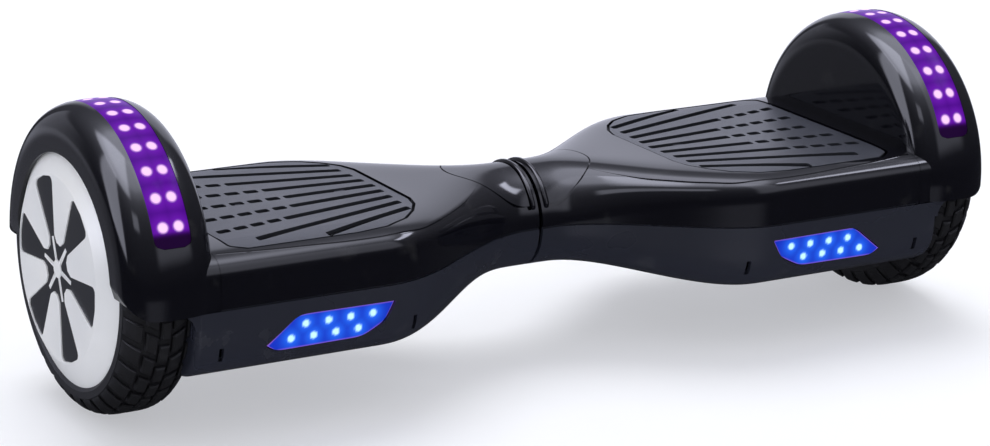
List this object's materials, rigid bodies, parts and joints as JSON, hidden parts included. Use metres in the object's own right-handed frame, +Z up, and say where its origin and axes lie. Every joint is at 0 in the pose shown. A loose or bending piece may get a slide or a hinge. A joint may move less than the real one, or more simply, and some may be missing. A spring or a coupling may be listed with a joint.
{
  "type": "self balancing hoverboard",
  "caption": "Two-wheeled self balancing board: two twisting halves on a central pivot, grooved footpads, hub motor wheels under lit fenders, front lamps, rear button and charging port.",
  "frame": {"origin": "on the ground, midway between the two wheels, under the pivot", "axes": "+X along the wheel axles to the right-hand half, -Y towards the lamps, +Z up"},
  "size_m": [0.592, 0.1851, 0.1769],
  "materials": {
    "shell_gloss": "high gloss black ABS",
    "belly_plastic": "satin slate black ABS",
    "panel_gloss": "gloss black inlay",
    "footpad_rubber": "moulded grooved rubber",
    "tyre_rubber": "solid rubber with a block tread",
    "hub_silver": "bright silver lacquer",
    "hub_black": "satin black",
    "strip_lens": "violet light strip diffuser",
    "lamp_lens": "clear blue lamp cover",
    "led_strip": "white strip with surface mounted LEDs",
    "circuit_board": "green solder mask",
    "cast_alloy": "as cast, lightly blasted",
    "bright_steel": "turned steel",
    "dark_steel": "black oxide",
    "motor_steel": "laminated steel",
    "magnet": "nickel plated",
    "copper_wire": "enamelled copper",
    "motor_shell": "painted casting",
    "bush_plastic": "natural acetal",
    "battery_wrap": "blue shrink film",
    "cable_sheath": "black sheath",
    "fitting_black": "moulded black",
    "cap_rubber": "soft black rubber",
    "button_silver": "silver lacquer"
  },
  "bodies": {
    "left_half": {"left_top_shell": "shell_gloss", "left_bottom_shell": "belly_plastic", "left_neck_panel": "panel_gloss", "left_sensor_board": "circuit_board", "left_chassis": "cast_alloy", "left_fender_lens": "strip_lens", "left_fender_leds": "led_strip", "left_lamp_lens": "lamp_lens", "left_lamp_board": "led_strip", "left_axle": "bright_steel", "left_axle_clamp": "cast_alloy", "left_clamp_bolts": "dark_steel", "left_stator": "motor_steel", "left_windings": "copper_wire", "left_shell_screws": "dark_steel", "left_cable": "cable_sheath", "pivot_tube": "bright_steel", "battery_pack": "battery_wrap"},
    "right_half": {"right_top_shell": "shell_gloss", "right_bottom_shell": "belly_plastic", "right_neck_panel": "panel_gloss", "right_sensor_board": "circuit_board", "right_chassis": "cast_alloy", "right_fender_lens": "strip_lens", "right_fender_leds": "led_strip", "right_lamp_lens": "lamp_lens", "right_lamp_board": "led_strip", "right_axle": "bright_steel", "right_axle_clamp": "cast_alloy", "right_clamp_bolts": "dark_steel", "right_stator": "motor_steel", "right_windings": "copper_wire", "right_shell_screws": "dark_steel", "right_cable": "cable_sheath", "pivot_bushes": "bush_plastic", "pivot_stop_screw": "dark_steel", "control_board": "circuit_board", "heat_sink": "cast_alloy", "charge_socket": "fitting_black", "power_switch": "fitting_black"},
    "left_wheel": {"left_magnets": "magnet", "left_hub_shell": "motor_shell", "left_hub_cover": "motor_shell", "left_hub_screws": "dark_steel", "left_bearings": "bright_steel", "left_hub_face": "hub_silver", "left_hub_inlay": "hub_black", "left_tyre": "tyre_rubber"},
    "right_wheel": {"right_magnets": "magnet", "right_hub_shell": "motor_shell", "right_hub_cover": "motor_shell", "right_hub_screws": "dark_steel", "right_bearings": "bright_steel", "right_hub_face": "hub_silver", "right_hub_inlay": "hub_black", "right_tyre": "tyre_rubber"},
    "left_footpad": {"left_pad": "footpad_rubber"},
    "right_footpad": {"right_pad": "footpad_rubber"},
    "port_cap": {"charge_cap": "cap_rubber"},
    "start_button": {"power_button": "button_silver"}
  },
  "joints": [
    {"name": "board_twist", "type": "hinge", "parent": "left_half", "child": "right_half", "pos_m": [0, 0, 0.08], "axis": [1, 0, 0], "range_deg": [-12, 12]},
    {"name": "left_wheel_spin", "type": "hinge", "parent": "left_half", "child": "left_wheel", "pos_m": [-0.268, 0, 0.085], "axis": [1, 0, 0], "continuous": true},
    {"name": "right_wheel_spin", "type": "hinge", "parent": "right_half", "child": "right_wheel", "pos_m": [0.268, 0, 0.085], "axis": [1, 0, 0], "continuous": true},
    {"name": "left_pad_press", "type": "slide", "parent": "left_half", "child": "left_footpad", "axis": [0, 0, -1], "range_m": [0, 0.0015], "stiffness_N_per_m": 4000, "springref_m": -0.002},
    {"name": "right_pad_press", "type": "slide", "parent": "right_half", "child": "right_footpad", "axis": [0, 0, -1], "range_m": [0, 0.0015], "stiffness_N_per_m": 4000, "springref_m": -0.002},
    {"name": "port_cap_hinge", "type": "hinge", "parent": "right_half", "child": "port_cap", "pos_m": [0.16, 0.0911, 0.069], "axis": [1, 0, 0], "range_deg": [0, 95]},
    {"name": "button_press", "type": "slide", "parent": "right_half", "child": "start_button", "axis": [0, -1, 0], "range_m": [0, 0.0015], "stiffness_N_per_m": 600, "springref_m": -0.001}
  ]
}
